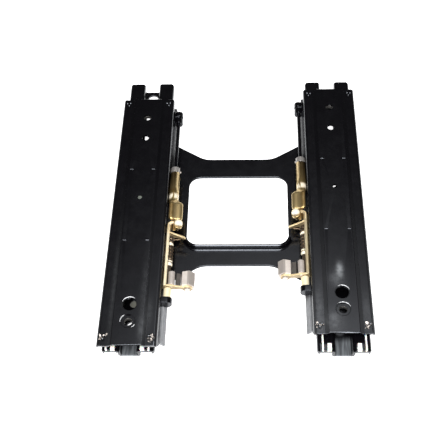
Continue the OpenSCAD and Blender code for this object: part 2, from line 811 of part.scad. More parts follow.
// Round tube whose front end is squeezed flat, with a round fold along each edge
module release_tube() {
  inside = tube_d - 2 * tube_wall;
  flat_y = tube_front_y - tongue_shoulder;
  color(yellow_zinc) released() difference() {
    union() {
      at_shaft() rod_y(tube_d, tube_front_y, tube_rear_y);
      tube_shoulder(flat_y);
      for (u = [fold_out_u, fold_in_u]) translate([u, 0, fold_z]) {
        rod_y(fold_d, fold_front_y, flat_y + eps);
        translate([0, fold_front_y, 0]) sphere(d = fold_d);
      }
      tongue_flat(flat_y);
    }
    at_shaft() rod_y(inside, tube_front_y, tube_rear_y + 1);
    rivet_bore(rivet_shank_d + 2 * pin_gap);
  }
}

// The flat floor between the folds, round at its front end
module tongue_flat(flat_y) {
  lobe_d = rivet_d + 1;
  translate([0, 0, tongue_z]) linear_extrude(tongue_t) {
    translate([fold_out_u, fold_front_y]) square([fold_in_u - fold_out_u, flat_y - fold_front_y + eps]);
    translate([rivet_u, rivet_y]) circle(d = lobe_d);
    translate([rivet_u - lobe_d / 2, rivet_y]) square([lobe_d, fold_front_y - rivet_y + eps]);
  }
}

// The tube's taper from its round end to the two folds
module tube_shoulder(flat_y) {
  skin = 0.5;
  hull() {
    at_shaft() rod_y(tube_d, tube_front_y, tube_front_y + skin);
    for (u = [fold_out_u, fold_in_u]) translate([u, 0, fold_z]) rod_y(fold_d, flat_y, flat_y + skin);
  }
}

module tube_bush() {
  inside = tube_d - 2 * tube_wall;
  color(bright_zinc) released() difference() {
    at_shaft() {
      rod_y(tube_d, tube_rear_y, tube_rear_y + bush_len);
      rod_y(inside - 2 * pin_gap, tube_rear_y - bush_len, tube_rear_y + eps);
    }
    at_shaft() rod_y(rod_d + 2 * pin_gap, tube_rear_y - bush_len - 1, tube_rear_y + bush_len + 1);
    cross_pin_shape(cross_pin_d + 2 * pin_gap);
  }
}

module cross_pin_shape(d) {
  translate([0, tube_rear_y + bush_len / 2, shaft_z])
    rod_x(d, shaft_u - tube_d / 2, shaft_u + tube_d / 2 + cross_pin_out);
}

module cross_pin() {
  color(bright_zinc) released() cross_pin_shape(cross_pin_d);
}

module rear_rod() {
  color(black_paint) released() difference() {
    at_shaft() rod_y(rod_d, tube_rear_y - bush_len, rear_bracket_y + rear_bracket_len / 2 + 2);
    cross_pin_shape(cross_pin_d + 2 * pin_gap);
  }
}

module tongue_rivet() {
  shank_low = tab_low;
  dome_h = rivet_d * 0.42;
  dome_r = (rivet_d * rivet_d / 4 + dome_h * dome_h) / (2 * dome_h);
  color(yellow_zinc) released() translate([rivet_u, rivet_y, 0]) {
    translate([0, 0, shank_low]) cylinder(d = rivet_shank_d, h = tongue_z + tongue_t - shank_low + eps);
    translate([0, 0, tongue_z + tongue_t]) intersection() {
      translate([0, 0, dome_h - dome_r]) sphere(dome_r);
      cylinder(d = rivet_d, h = dome_h + 1);
    }
  }
}

// Link stud in the front ear's eye, with one long nut behind the ear, and the hook pin beside it
module link_stud() {
  front = front_ear_y - ear_t / 2 - 1;
  rear = front_ear_y + ear_t / 2 + stud_nut_len + 1;
  color(bright_zinc) released() translate([stud_u, 0, stud_z]) rod_y(stud_d, front, rear);
}

module stud_nuts() {
  color(bright_zinc) released() translate([stud_u, front_ear_y + ear_t / 2, stud_z])
    rotate([-90, 0, 0]) rotate(30) hex_nut(stud_nut_af, stud_nut_len, stud_d + 2 * pin_gap);
}

module stop_pad() {
  color(black_paint) released() translate([pad_u, front_ear_y + ear_t / 2, lever_top - pad_h])
    cube([pad_w, pad_len, pad_h]);
}

module hook_pin() {
  behind = front_ear_y + ear_t / 2;
  color(bright_zinc) released() translate([hook_u, 0, hook_z]) {
    rod_y(hook_shank_d, front_ear_y - ear_t / 2, behind + eps);
    rod_y(hook_d, behind, behind + hook_len);
  }
}

// Latch spring: one wire swept along its two legs and its coil
slant_drop = (shaft_u + coil_r + wire_d / 2 - lever_out) * tan(ear_slant);
coil_end_y = rear_ear_y - ear_t / 2 - wire_d / 2 - run_gap - slant_drop;
coil_start_y = coil_end_y - coil_len;
free_leg = [10.5, 0.4, 0.4];
turn_steps = 14;
wire_sides = 8;

function coil_point(s) =
  let (a = 270 + s * spring_turns * 360)
  [shaft_u + coil_r * cos(a), coil_start_y + s * coil_len, shaft_z + coil_r * sin(a)];

function spring_path() =
  let (count = spring_turns * turn_steps, first = coil_point(0), last = coil_point(1))
  concat(
    [[wall_out + wire_d / 2, first[1], first[2]]],
    [for (i = [0 : count]) coil_point(i / count)],
    [last + free_leg / 2, last + free_leg]
  );

function wire_ring(path, i) =
  let (
    before = path[max(i - 1, 0)],
    after = path[min(i + 1, len(path) - 1)],
    along = unit(after - before),
    across = unit(cross(along, [0, 1, 0])),
    lift = cross(across, along)
  )
  [for (k = [0 : wire_sides - 1])
    path[i] + wire_d / 2 * (across * cos(360 * k / wire_sides) + lift * sin(360 * k / wire_sides))];

module latch_spring() {
  path = spring_path();
  n = len(path);
  points = [for (i = [0 : n - 1]) each wire_ring(path, i)];
  sides = [for (i = [0 : n - 2]) for (k = [0 : wire_sides - 1])
    let (a = i * wire_sides + k, b = i * wire_sides + (k + 1) % wire_sides)
    [a, b, b + wire_sides, a + wire_sides]];
  caps = [
    [for (k = [wire_sides - 1 : -1 : 0]) k],
    [for (k = [0 : wire_sides - 1]) (n - 1) * wire_sides + k]
  ];
  color(spring_steel) polyhedron(points, concat(sides, caps));
}

// Rollers, balls and their cages, which run at half the slide's speed
roller_places = [
  -roller_outer_y, -roller_outer_y + roller_gap, roller_outer_y - roller_gap, roller_outer_y
];

module rollers() {
  color(bright_zinc) both_sides() for (y = roller_places)
    translate([0, y, roller_z]) rod_x(roller_d, track_u, track_u + roller_len);
}

module roller_cages() {
  color(white_nylon) both_sides() translate([cage_bar_u, 0, roller_z - cage_h / 2]) {
    translate([0, -cage_len / 2, 0]) cube([cage_bar, cage_len, cage_h]);
    for (y = roller_places) for (s = [-1, 1])
      translate([0, y + s * (roller_d + finger_w + 2 * run_gap) / 2 - finger_w / 2, 0])
        cube([cage_bar + run_gap + roller_len, finger_w, cage_h]);
  }
}

module track_balls() {
  color(bright_zinc) both_sides() for (i = [0 : ball_count - 1])
    translate([ball_u, (i - (ball_count - 1) / 2) * ball_gap, ball_z]) sphere(d = ball_d);
}

module ball_spacers() {
  half = (ball_gap - ball_d) / 2 - run_gap;
  color(white_nylon) both_sides() for (i = [0 : ball_count - 2])
    translate([ball_u, (i - (ball_count - 2) / 2) * ball_gap, ball_z]) rod_y(spacer_d, -half, half);
}

left_side() lower_rail();  // lower_rail_left
right_side() lower_rail();  // lower_rail_right
cross_plate();
plate_welds();
end_glides();
left_side(left_shift) upper_rail();  // upper_rail_left
left_side(left_shift) side_skirt();  // side_skirt_left
left_side(left_shift) seat_nuts();  // seat_nuts_left
left_side(left_shift) front_ring();  // front_ring_left
left_side(left_shift) rear_bracket();  // rear_bracket_left
left_side(left_shift) latch_spring();  // latch_spring_left
left_side(left_shift) latch_lever();  // latch_lever_left
left_side(left_shift) pivot_pin();  // pivot_pin_left
left_side(left_shift) release_tube();  // release_tube_left
left_side(left_shift) tube_bush();  // tube_bush_left
left_side(left_shift) cross_pin();  // cross_pin_left
left_side(left_shift) rear_rod();  // rear_rod_left
left_side(left_shift) tongue_rivet();  // tongue_rivet_left
left_side(left_shift) link_stud();  // link_stud_left
left_side(left_shift) stud_nuts();  // stud_nuts_left
left_side(left_shift) hook_pin();  // hook_pin_left
left_side(left_shift) stop_pad();  // stop_pad_left
left_side(left_shift / 2) roller_cages();  // roller_cages_left
left_side(left_shift / 2) rollers();  // rollers_left
left_side(left_shift / 2) track_balls();  // track_balls_left
left_side(left_shift / 2) ball_spacers();  // ball_spacers_left
right_side(right_shift) upper_rail();  // upper_rail_right
right_side(right_shift) side_skirt();  // side_skirt_right
right_side(right_shift) seat_nuts();  // seat_nuts_right
right_side(right_shift) front_ring();  // front_ring_right
right_side(right_shift) rear_bracket();  // rear_bracket_right
right_side(right_shift) latch_spring();  // latch_spring_right
right_side(right_shift) latch_lever();  // latch_lever_right
right_side(right_shift) pivot_pin();  // pivot_pin_right
right_side(right_shift) release_tube();  // release_tube_right
right_side(right_shift) tube_bush();  // tube_bush_right
right_side(right_shift) cross_pin();  // cross_pin_right
right_side(right_shift) rear_rod();  // rear_rod_right
right_side(right_shift) tongue_rivet();  // tongue_rivet_right
right_side(right_shift) link_stud();  // link_stud_right
right_side(right_shift) stud_nuts();  // stud_nuts_right
right_side(right_shift) hook_pin();  // hook_pin_right
right_side(right_shift) stop_pad();  // stop_pad_right
right_side(right_shift / 2) roller_cages();  // roller_cages_right
right_side(right_shift / 2) rollers();  // rollers_right
right_side(right_shift / 2) track_balls();  // track_balls_right
right_side(right_shift / 2) ball_spacers();  // ball_spacers_right
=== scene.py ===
"""Pair of seat slide rails: surface finish, floor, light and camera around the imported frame."""
import json
import math
import random

import bmesh
import bpy
from mathutils import Matrix, Vector


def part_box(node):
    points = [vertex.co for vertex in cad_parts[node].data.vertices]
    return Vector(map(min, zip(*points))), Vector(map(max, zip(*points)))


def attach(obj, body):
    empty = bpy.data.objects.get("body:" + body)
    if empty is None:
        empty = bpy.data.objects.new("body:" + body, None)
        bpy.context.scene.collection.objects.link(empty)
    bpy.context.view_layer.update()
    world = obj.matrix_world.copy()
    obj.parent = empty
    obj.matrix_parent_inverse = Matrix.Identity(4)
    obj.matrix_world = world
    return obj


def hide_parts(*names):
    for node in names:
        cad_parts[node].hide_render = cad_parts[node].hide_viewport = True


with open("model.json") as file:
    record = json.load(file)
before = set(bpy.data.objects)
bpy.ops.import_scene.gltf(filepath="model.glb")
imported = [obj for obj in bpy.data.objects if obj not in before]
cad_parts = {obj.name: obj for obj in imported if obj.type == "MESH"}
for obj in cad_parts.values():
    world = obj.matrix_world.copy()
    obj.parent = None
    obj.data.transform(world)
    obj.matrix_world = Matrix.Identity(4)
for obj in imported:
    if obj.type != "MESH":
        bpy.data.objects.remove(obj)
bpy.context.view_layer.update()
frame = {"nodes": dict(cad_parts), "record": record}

MM = 0.001
SIDES = ("left", "right")
# Sign of the way outward from the middle of the part
OUTWARD = {"left": -1, "right": 1}


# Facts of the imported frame

def base_name(node):
    """A node's name without its side."""
    for side in SIDES:
        node = node.removesuffix(f"_{side}")
    return node


def body_of_node(node):
    for body, nodes in frame["record"]["behaviour"]["bodies"].items():
        if node in nodes:
            return body
    raise KeyError(node)


def slot_of_node(node):
    for part in frame["record"]["subparts"]:
        if part["node"] == node:
            return part["material_slot"]
    raise KeyError(node)


def joint_row(name):
    for joint in frame["record"]["behaviour"]["joints"]:
        if joint["name"] == name:
            return joint
    raise KeyError(name)


LATCHES = {side: joint_row(f"latch_{side}") for side in SIDES}
LATCH_LOW, LATCH_HIGH = LATCHES["right"]["range_deg"]
# Turn of a latch from its locked end to its place at rest
LATCH_TURN = math.radians(LATCH_HIGH - LATCH_LOW)
# Distance of a rail's middle from the middle of the part, in metres
RAIL_X = sum(corner.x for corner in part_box("lower_rail_right")) / 2
# Place of each upper rail along its lower rail at rest, in metres
SHIFT = {side: LATCHES[side]["pos_m"][1] for side in SIDES}
# The latch shaft's distance from its rail's middle and its height, in metres
SHAFT_U = RAIL_X - LATCHES["right"]["pos_m"][0]
SHAFT_Z = LATCHES["right"]["pos_m"][2]


# Node tree helpers

# Lowest height on the stepped tops of the upper rails
TOP_LOW_Z = 27 * MM
# Span in which most noise values lie
MID_NOISE = (0.3, 0.7)
FALLING = (1.0, 0.0)


class Tree:
    """A short way to add and join nodes of one material or world."""

    def __init__(self, owner):
        owner.use_nodes = True
        self.nodes = owner.node_tree.nodes
        self.links = owner.node_tree.links
        self.nodes.clear()

    def add(self, kind, **settings):
        node = self.nodes.new(kind)
        for name, value in settings.items():
            setattr(node, name, value)
        return node

    def put(self, socket, value):
        """Link a socket to another node's socket, or set it to a plain value."""
        if isinstance(value, bpy.types.NodeSocket):
            self.links.new(value, socket)
        else:
            socket.default_value = value

    def math(self, operation, a, b=0.0):
        node = self.add("ShaderNodeMath", operation=operation)
        self.put(node.inputs[0], a)
        self.put(node.inputs[1], b)
        return node.outputs["Value"]

    def product(self, first, *others):
        """All the given shares multiplied."""
        for other in others:
            first = self.math("MULTIPLY", first, other)
        return first

    def fading(self, value):
        """1 where value is 0, and falling towards 0 as it grows."""
        return self.math("POWER", math.e, self.math("MULTIPLY", value, -1))

    def object_point(self, along=1.0):
        """Object coordinates in metres, with an along below 1 drawn out along the rail."""
        place = self.add("ShaderNodeTexCoord").outputs["Object"]
        if along == 1.0:
            return place
        mapping = self.add("ShaderNodeMapping")
        self.put(mapping.inputs["Vector"], place)
        mapping.inputs["Scale"].default_value = (1, along, 1)
        return mapping.outputs["Vector"]

    def component(self, vector, name):
        split = self.add("ShaderNodeSeparateXYZ")
        self.put(split.inputs["Vector"], vector)
        return split.outputs[name]

    def axis(self, name):
        """One object coordinate in metres."""
        return self.component(self.object_point(), name)

    def facing(self, name):
        """One component of the surface normal."""
        return self.component(self.add("ShaderNodeNewGeometry").outputs["Normal"], name)

    def rail_offset(self):
        """Distance across from the nearer rail's middle, in metres."""
        from_middle = self.math("ABSOLUTE", self.axis("X"))
        return self.math("ABSOLUTE", self.math("SUBTRACT", from_middle, RAIL_X))

    def on_top(self):
        """1 on the tops of the upper rails, 0 below them."""
        return self.math("GREATER_THAN", self.axis("Z"), TOP_LOW_Z)

    def spot(self, x, y, half_x, half_y):
        """A soft round patch on the tops of the rails, 1 in its middle."""
        across = self.math("DIVIDE", self.math("SUBTRACT", self.axis("X"), x), half_x)
        along = self.math("DIVIDE", self.math("SUBTRACT", self.axis("Y"), y), half_y)
        square = self.math("ADD", self.math("POWER", across, 2), self.math("POWER", along, 2))
        return self.product(self.fading(square), self.on_top())

    def noise(self, size, detail=2.0, rough=0.5, along=1.0):
        """Noise whose features are about size metres wide, from 0 to 1."""
        node = self.add("ShaderNodeTexNoise")
        self.put(node.inputs["Vector"], self.object_point(along))
        node.inputs["Scale"].default_value = 1 / size
        node.inputs["Detail"].default_value = detail
        node.inputs["Roughness"].default_value = rough
        return node.outputs["Fac"]

    def ramp(self, value, low, high, to_low=0.0, to_high=1.0):
        """Map value from low..high to to_low..to_high with a smooth, clamped step."""
        node = self.add("ShaderNodeMapRange", interpolation_type="SMOOTHSTEP")
        self.put(node.inputs["Value"], value)
        for name, number in (("From Min", low), ("From Max", high), ("To Min", to_low), ("To Max", to_high)):
            node.inputs[name].default_value = number
        return node.outputs["Result"]

    def mottle(self, size, span, reach=(0.0, 1.0), **settings):
        """Noise of the given size, with a span of its values mapped to a reach of shares."""
        return self.ramp(self.noise(size, **settings), *span, *reach)

    def blend(self, share, a, b):
        """Colour a where share is 0 and colour b where it is 1."""
        node = self.add("ShaderNodeMix", data_type="RGBA")
        self.put(node.inputs["Factor"], share)
        self.put(node.inputs["A"], a)
        self.put(node.inputs["B"], b)
        return node.outputs["Result"]

    def bump(self, height, depth, under=None):
        """Surface relief of depth metres from a 0 to 1 height."""
        node = self.add("ShaderNodeBump")
        self.put(node.inputs["Height"], height)
        node.inputs["Distance"].default_value = depth
        node.inputs["Strength"].default_value = 1.0
        if under is not None:
            self.put(node.inputs["Normal"], under)
        return node.outputs["Normal"]

    def show(self, shader):
        """Make a shader the surface of the material."""
        out = self.add("ShaderNodeOutputMaterial")
        self.put(out.inputs["Surface"], shader.outputs["BSDF"])

    def principled(self, **inputs):
        shader = self.add("ShaderNodeBsdfPrincipled")
        for name, value in inputs.items():
            self.put(shader.inputs[name.replace("_", " ")], value)
        self.show(shader)


def rgb(red, green, blue):
    return (red, green, blue, 1.0)


# Black paint

PAINT_DEEP = rgb(0.0018, 0.0016, 0.0022)
PAINT_THIN = rgb(0.0028, 0.0026, 0.0034)
PAINT_SHEEN = rgb(0.86, 0.91, 1.0)
DUST_SPECK = rgb(0.07, 0.07, 0.08)
# Tones of painted reflections: on the channel floor, and on the rail tops and steps
CHANNEL_SHEEN = rgb(0.13, 0.14, 0.15)
SHEEN_TONE = rgb(0.42, 0.44, 0.46)
# The painted reflection on the channel floor fades out between these heights, offsets from the middle and
# places along
CHANNEL_SHEEN_Z = (3.4 * MM, 4.2 * MM)
CHANNEL_SHEEN_U = (7.6 * MM, 8.7 * MM)
CHANNEL_SHEEN_Y = (-170 * MM, -160 * MM)
# Painted reflections on the rail tops, soft glints and light bands: place x and y, half width and length in
# millimetres, share of cover
SHEEN_SPOTS = (
    (108.1, -98.5, 3.2, 7.5, 0.55),
    (104.2, -110.0, 7.0, 8.0, 0.14),
    (99.5, -157.8, 7.0, 9.0, 0.16),
    (-95.1, -167.0, 3.5, 11.0, 0.09),
    (-95.6, -130.0, 3.0, 50.0, 0.04),
    (-88.4, -149.0, 3.0, 16.0, 0.06),
    (-127.6, -125.0, 2.2, 60.0, 0.05),
    (85.2, -150.0, 4.0, 28.0, 0.10),
    (133.2, -150.0, 4.0, 22.0, 0.08),
)
# Slanted step faces: spans of the normal's sideways part where they begin and end
STEP_BEGINS = (0.15, 0.30)
STEP_ENDS = (0.70, 0.85)
# Painted light on the step faces: stretch along the rails, its shares there, and the weaker left side
STEP_SHEEN_Y = (-200 * MM, 60 * MM)
STEP_SHEEN_SHARES = (0.055, 0.002)
STEP_SHEEN_X = (-10 * MM, 10 * MM)
STEP_SHEEN_SIDES = (0.5, 1.0)


def channel_sheen(t):
    """Share of painted reflection, light grey, on the channel floor: in streaks along the rail, at its open
    front end.
    """
    low = t.ramp(t.axis("Z"), *CHANNEL_SHEEN_Z, *FALLING)
    inside = t.ramp(t.rail_offset(), *CHANNEL_SHEEN_U, *FALLING)
    open_end = t.ramp(t.axis("Y"), *CHANNEL_SHEEN_Y, *FALLING)
    streaks = t.mottle(3 * MM, span=MID_NOISE, reach=(0.35, 1.0), along=0.1)
    return t.product(low, inside, streaks, open_end)


def step_sheen(t):
    """Share of painted light on the slanted steps of the rail tops, stronger in front and on the right."""
    tilt = t.math("ABSOLUTE", t.facing("X"))
    slope = t.product(t.ramp(tilt, *STEP_BEGINS), t.ramp(tilt, *STEP_ENDS, *FALLING), t.on_top())
    towards_front = t.ramp(t.axis("Y"), *STEP_SHEEN_Y, *STEP_SHEEN_SHARES)
    towards_right = t.ramp(t.axis("X"), *STEP_SHEEN_X, *STEP_SHEEN_SIDES)
    return t.product(slope, towards_front, towards_right)


def black_paint():
    """Gloss black dip coat: deep, with fine orange peel, dust specks, painted reflections on the rail tops
    and steps, and a painted reflection on the channel floor.
    """
    mat = bpy.data.materials.new("black_paint")
    t = Tree(mat)
    colour = t.blend(t.noise(30 * MM, detail=4), PAINT_DEEP, PAINT_THIN)
    specks = t.mottle(0.5 * MM, span=(0.76, 0.86), reach=(0.0, 0.12), detail=1)
    colour = t.blend(specks, colour, DUST_SPECK)
    # Painted reflection: light grey streaks on the channel floor at the open front end
    colour = t.blend(channel_sheen(t), colour, CHANNEL_SHEEN)
    patchy = t.mottle(5 * MM, span=(0.25, 0.75), reach=(0.35, 1.0), detail=4, rough=0.6)
    # Painted reflections: soft glints and light bands on the rail tops
    for x, y, half_x, half_y, share in SHEEN_SPOTS:
        sheen_spot = t.spot(x * MM, y * MM, half_x * MM, half_y * MM)
        colour = t.blend(t.product(sheen_spot, share, patchy), colour, SHEEN_TONE)
    # Painted light on the slanted steps
    colour = t.blend(step_sheen(t), colour, SHEEN_TONE)
    rough = t.mottle(9 * MM, span=MID_NOISE, reach=(0.14, 0.20), detail=5, rough=0.6)
    peel = t.bump(t.noise(1.3 * MM, detail=1), depth=0.0025 * MM)
    wave = t.bump(t.noise(42 * MM, detail=1), depth=0.05 * MM, under=peel)
    t.principled(Base_Color=colour, Roughness=rough, Normal=wave, Specular_Tint=PAINT_SHEEN)
    return mat


# Yellow zinc

STAIN = rgb(0.30, 0.20, 0.10)
# Painted shade, near black, on the lock teeth and the pin, deep between lever and rail wall
TEETH_PIN_SHADE = rgb(0.05, 0.036, 0.024)
PAINTED_FRONT_SHADE = rgb(0.11, 0.075, 0.04)
# Tone of the painted glints on the release tubes
GLINT_TONE = rgb(0.98, 0.90, 0.74)
# Where the lock teeth begin, across from the shaft with the latch locked, and the reach of the painted shade
# round the pin
TEETH_U = -5.46 * MM
SHADED_PIN_R = 2.7 * MM
# Span across from the shaft over which the painted highlight on the inner side sets in, and its full share
INNER_HIGHLIGHT_U = (1.0 * MM, 3.4 * MM)
INNER_HIGHLIGHT_SHARE = 0.6
# Distance along from the middle of the painted glint stretch over which the glint fades
GLINT_HALF = (1.5 * MM, 5.5 * MM)
# Painted shade on faces that look to the front: span of the normal's part along the rail, and the painted
# shade's shares there
FRONT_FACING = (-0.95, -0.5)
FRONT_SHADE_SHARES = (0.8, 0.0)


def teeth_pin_shade_share(t, out):
    """Share of painted shade: 1 on the lock teeth and the pivot pin, from the distance out across from the
    shaft.
    """
    up = t.math("SUBTRACT", t.axis("Z"), SHAFT_Z)
    level = t.math("MULTIPLY", out, math.cos(LATCH_TURN))
    drop = t.math("MULTIPLY", up, math.sin(LATCH_TURN))
    on_teeth = t.math("LESS_THAN", t.math("SUBTRACT", level, drop), TEETH_U)
    square = t.math("ADD", t.math("POWER", up, 2), t.math("POWER", out, 2))
    on_pin = t.math("LESS_THAN", t.math("SQRT", square), SHADED_PIN_R)
    return t.math("MAXIMUM", on_teeth, on_pin)


def yellow_zinc(name, straw, rose, green, metal, shade_teeth_pin=True, inner_highlight=None, glint_y=None):
    """Yellow passivated zinc: straw with faint clouds, and painted shade, brown, on faces that look to the
    front.

    A part set to shade its teeth and pin has painted shade, near black, on them; with an inner tone given, a
    painted highlight of that tone lies on its inner side.
    Painted glint streaks lie about the given place along the rail, in millimetres.
    """
    mat = bpy.data.materials.new(name)
    t = Tree(mat)
    rosy = t.mottle(9 * MM, span=(0.42, 0.66), reach=(0.0, 0.70))
    leafy = t.mottle(14 * MM, span=(0.52, 0.72), reach=(0.0, 0.45), rough=0.4)
    stains = t.mottle(5 * MM, span=(0.58, 0.78), reach=(0.0, 0.25), detail=4, rough=0.6)
    colour = t.blend(leafy, t.blend(rosy, straw, rose), green)
    colour = t.blend(stains, colour, STAIN)
    out = t.math("SUBTRACT", t.rail_offset(), SHAFT_U)
    # Painted highlight: a pale tone on the inner side of the tube
    if inner_highlight is not None:
        colour = t.blend(t.ramp(out, *INNER_HIGHLIGHT_U, to_high=INNER_HIGHLIGHT_SHARE), colour, inner_highlight)
    # Painted glints: pale streaks with less metal, about one place along the tube
    if glint_y is not None:
        away = t.math("ABSOLUTE", t.math("SUBTRACT", t.axis("Y"), glint_y * MM))
        streaks = t.mottle(3.4 * MM, span=(0.44, 0.58), reach=(0.0, 0.8), detail=1, along=0.25)
        glint = t.product(t.ramp(away, *GLINT_HALF, *FALLING), streaks)
        colour = t.blend(glint, colour, GLINT_TONE)
        metal = t.product(t.math("SUBTRACT", 1.0, glint), metal)
    # Painted shade on the teeth and pin
    if shade_teeth_pin:
        colour = t.blend(teeth_pin_shade_share(t, out), colour, TEETH_PIN_SHADE)
    # Painted shade: faces that look to the front darkened to brown
    colour = t.blend(t.ramp(t.facing("Y"), *FRONT_FACING, *FRONT_SHADE_SHARES), colour, PAINTED_FRONT_SHADE)
    rough = t.mottle(6 * MM, span=MID_NOISE, reach=(0.33, 0.40), detail=3)
    grain = t.bump(t.noise(3 * MM), depth=0.004 * MM)
    t.principled(Base_Color=colour, Metallic=metal, Roughness=rough, Normal=grain)
    return mat


# Bare metals and nylon

FINE_LINES = 0.0008 * MM
DEEP_LINES = 0.002 * MM
METAL_CLOUD = (0.35, 0.70)
# Span across from the rail's middle over which the link nuts turn from their painted highlight to their
# painted shade
NUT_SHADE_U = (56.7 * MM, 58.1 * MM)


def plated_steel(name, light, dark, rough, metal=1.0, lines=FINE_LINES, inner=None):
    """Plated or ground steel: cloudy tone, uneven gloss and fine lines along the part.

    With a shaded tone given, the half of the link nuts that looks away from the rail has that tone, as
    painted shade.
    """
    mat = bpy.data.materials.new(name)
    t = Tree(mat)
    colour = t.blend(t.mottle(5 * MM, span=METAL_CLOUD, detail=5, rough=0.65), light, dark)
    # Painted shade on the inner half of the link nuts
    if inner is not None:
        colour = t.blend(t.ramp(t.rail_offset(), *NUT_SHADE_U), colour, inner)
    gloss = t.mottle(3 * MM, span=MID_NOISE, reach=rough, detail=4, rough=0.6)
    brushed = t.bump(t.noise(0.45 * MM, detail=3, along=0.08), depth=lines)
    t.principled(Base_Color=colour, Metallic=metal, Roughness=gloss, Normal=brushed)
    return mat


ZINC_LIGHT = rgb(0.225, 0.23, 0.24)
ZINC_DARK = rgb(0.175, 0.18, 0.19)
MIDDLE_SHADE = rgb(0.004, 0.004, 0.005)
REAR_SHADE = rgb(0.075, 0.076, 0.08)
# Stretches along the skirts where the painted shade sets in, near black in the middle and grey at the rear,
# and how far their borders waver
MIDDLE_SHADE_Y = (-124 * MM, -110 * MM)
REAR_SHADE_Y = (72 * MM, 86 * MM)
WAVER = 8 * MM


def plain_zinc():
    """Dull zinc sheet, bare in front, with painted shade: near black in the middle behind the latch, grey at
    the rear.
    """
    mat = bpy.data.materials.new("plain_zinc")
    t = Tree(mat)
    colour = t.blend(t.mottle(5 * MM, span=METAL_CLOUD, detail=5, rough=0.65), ZINC_LIGHT, ZINC_DARK)
    along = t.math("ADD", t.axis("Y"), t.product(t.noise(6 * MM, detail=3), WAVER))
    # Painted shade on the middle and the rear of the skirts
    colour = t.blend(t.ramp(along, *MIDDLE_SHADE_Y), colour, MIDDLE_SHADE)
    colour = t.blend(t.ramp(along, *REAR_SHADE_Y), colour, REAR_SHADE)
    rough = t.mottle(3 * MM, span=MID_NOISE, reach=(0.42, 0.52), detail=4, rough=0.6)
    t.principled(Base_Color=colour, Metallic=0.2, Roughness=rough)
    return mat


NYLON_WARM = rgb(0.86, 0.85, 0.80)
NYLON_PALE = rgb(0.92, 0.91, 0.88)
BRIDGE_SHADE = rgb(0.02, 0.02, 0.02)
# The glides' low bridge: its two sides, across from the rail's middle, and its rear
BRIDGE_FROM_U, BRIDGE_TO_U, BRIDGE_REAR_Y = 17.3 * MM, 20.7 * MM, -180 * MM


def white_nylon():
    """Natural moulded nylon: milky, slightly warm, with painted shade, near black, on the glides' low bridge.
    """
    mat = bpy.data.materials.new("white_nylon")
    t = Tree(mat)
    colour = t.blend(t.noise(6 * MM, detail=3), NYLON_WARM, NYLON_PALE)
    beyond = t.math("GREATER_THAN", t.rail_offset(), BRIDGE_FROM_U)
    before = t.math("LESS_THAN", t.rail_offset(), BRIDGE_TO_U)
    front = t.math("LESS_THAN", t.axis("Y"), BRIDGE_REAR_Y)
    # Painted shade: the low bridge between the glides' ribs darkened near black
    colour = t.blend(t.product(beyond, before, front), colour, BRIDGE_SHADE)
    rough = t.mottle(2 * MM, span=MID_NOISE, reach=(0.38, 0.52), detail=4)
    grain = t.bump(t.noise(0.6 * MM), depth=0.010 * MM)
    t.principled(
        Base_Color=colour, Roughness=rough, Normal=grain,
        Subsurface_Weight=0.25, Subsurface_Scale=1.5 * MM,
    )
    return mat


# Tones of the floor plug: painted shade for the floor seen in shade through the hole
SHADED_FLOOR_DARK = rgb(0.10, 0.10, 0.085)
SHADED_FLOOR_LIGHT = rgb(0.16, 0.158, 0.138)


def glowing_nylon(name):
    """Thin nylon that the light from below shines through, dull grey as painted shade."""
    mat = bpy.data.materials.new(name)
    t = Tree(mat)
    glow = t.add("ShaderNodeBsdfTranslucent")
    t.put(glow.inputs["Color"], t.blend(t.noise(4 * MM, detail=3), SHADED_FLOOR_DARK, SHADED_FLOOR_LIGHT))
    t.show(glow)
    return mat


# Looks of the material slots, and of single kinds of piece that differ from their slot's look

MATERIALS = {
    "black_paint": black_paint(),
    "yellow_zinc": yellow_zinc(
        "yellow_zinc", straw=rgb(0.84, 0.68, 0.40), rose=rgb(0.74, 0.54, 0.28), green=rgb(0.74, 0.63, 0.36),
        metal=0.40),
    "bright_zinc": plated_steel(
        "bright_zinc", rgb(0.52, 0.47, 0.43), rgb(0.42, 0.375, 0.335), rough=(0.36, 0.46), metal=0.4),
    "plain_zinc": plain_zinc(),
    "spring_steel": plated_steel(
        "spring_steel", rgb(0.20, 0.14, 0.09), rgb(0.08, 0.055, 0.035), rough=(0.26, 0.38), lines=DEEP_LINES),
    "bearing_steel": plated_steel(
        "bearing_steel", rgb(0.66, 0.66, 0.67), rgb(0.55, 0.55, 0.56), rough=(0.10, 0.18), lines=DEEP_LINES),
    "white_nylon": white_nylon(),
}
# Middle of the painted glint stretch of each release tube, along the rail in millimetres
TUBE_GLINT_Y = {"left": 6.0, "right": 20.0}


def tube_zinc(side):
    """Dull yellow zinc of a release tube, with a painted highlight on its inner side and painted glints in
    one place.
    """
    return yellow_zinc(
        f"yellow_zinc_dull_{side}", straw=rgb(0.52, 0.37, 0.16), rose=rgb(0.42, 0.26, 0.09),
        green=rgb(0.44, 0.36, 0.14), metal=0.92, inner_highlight=rgb(0.80, 0.62, 0.32), glint_y=TUBE_GLINT_Y[side])


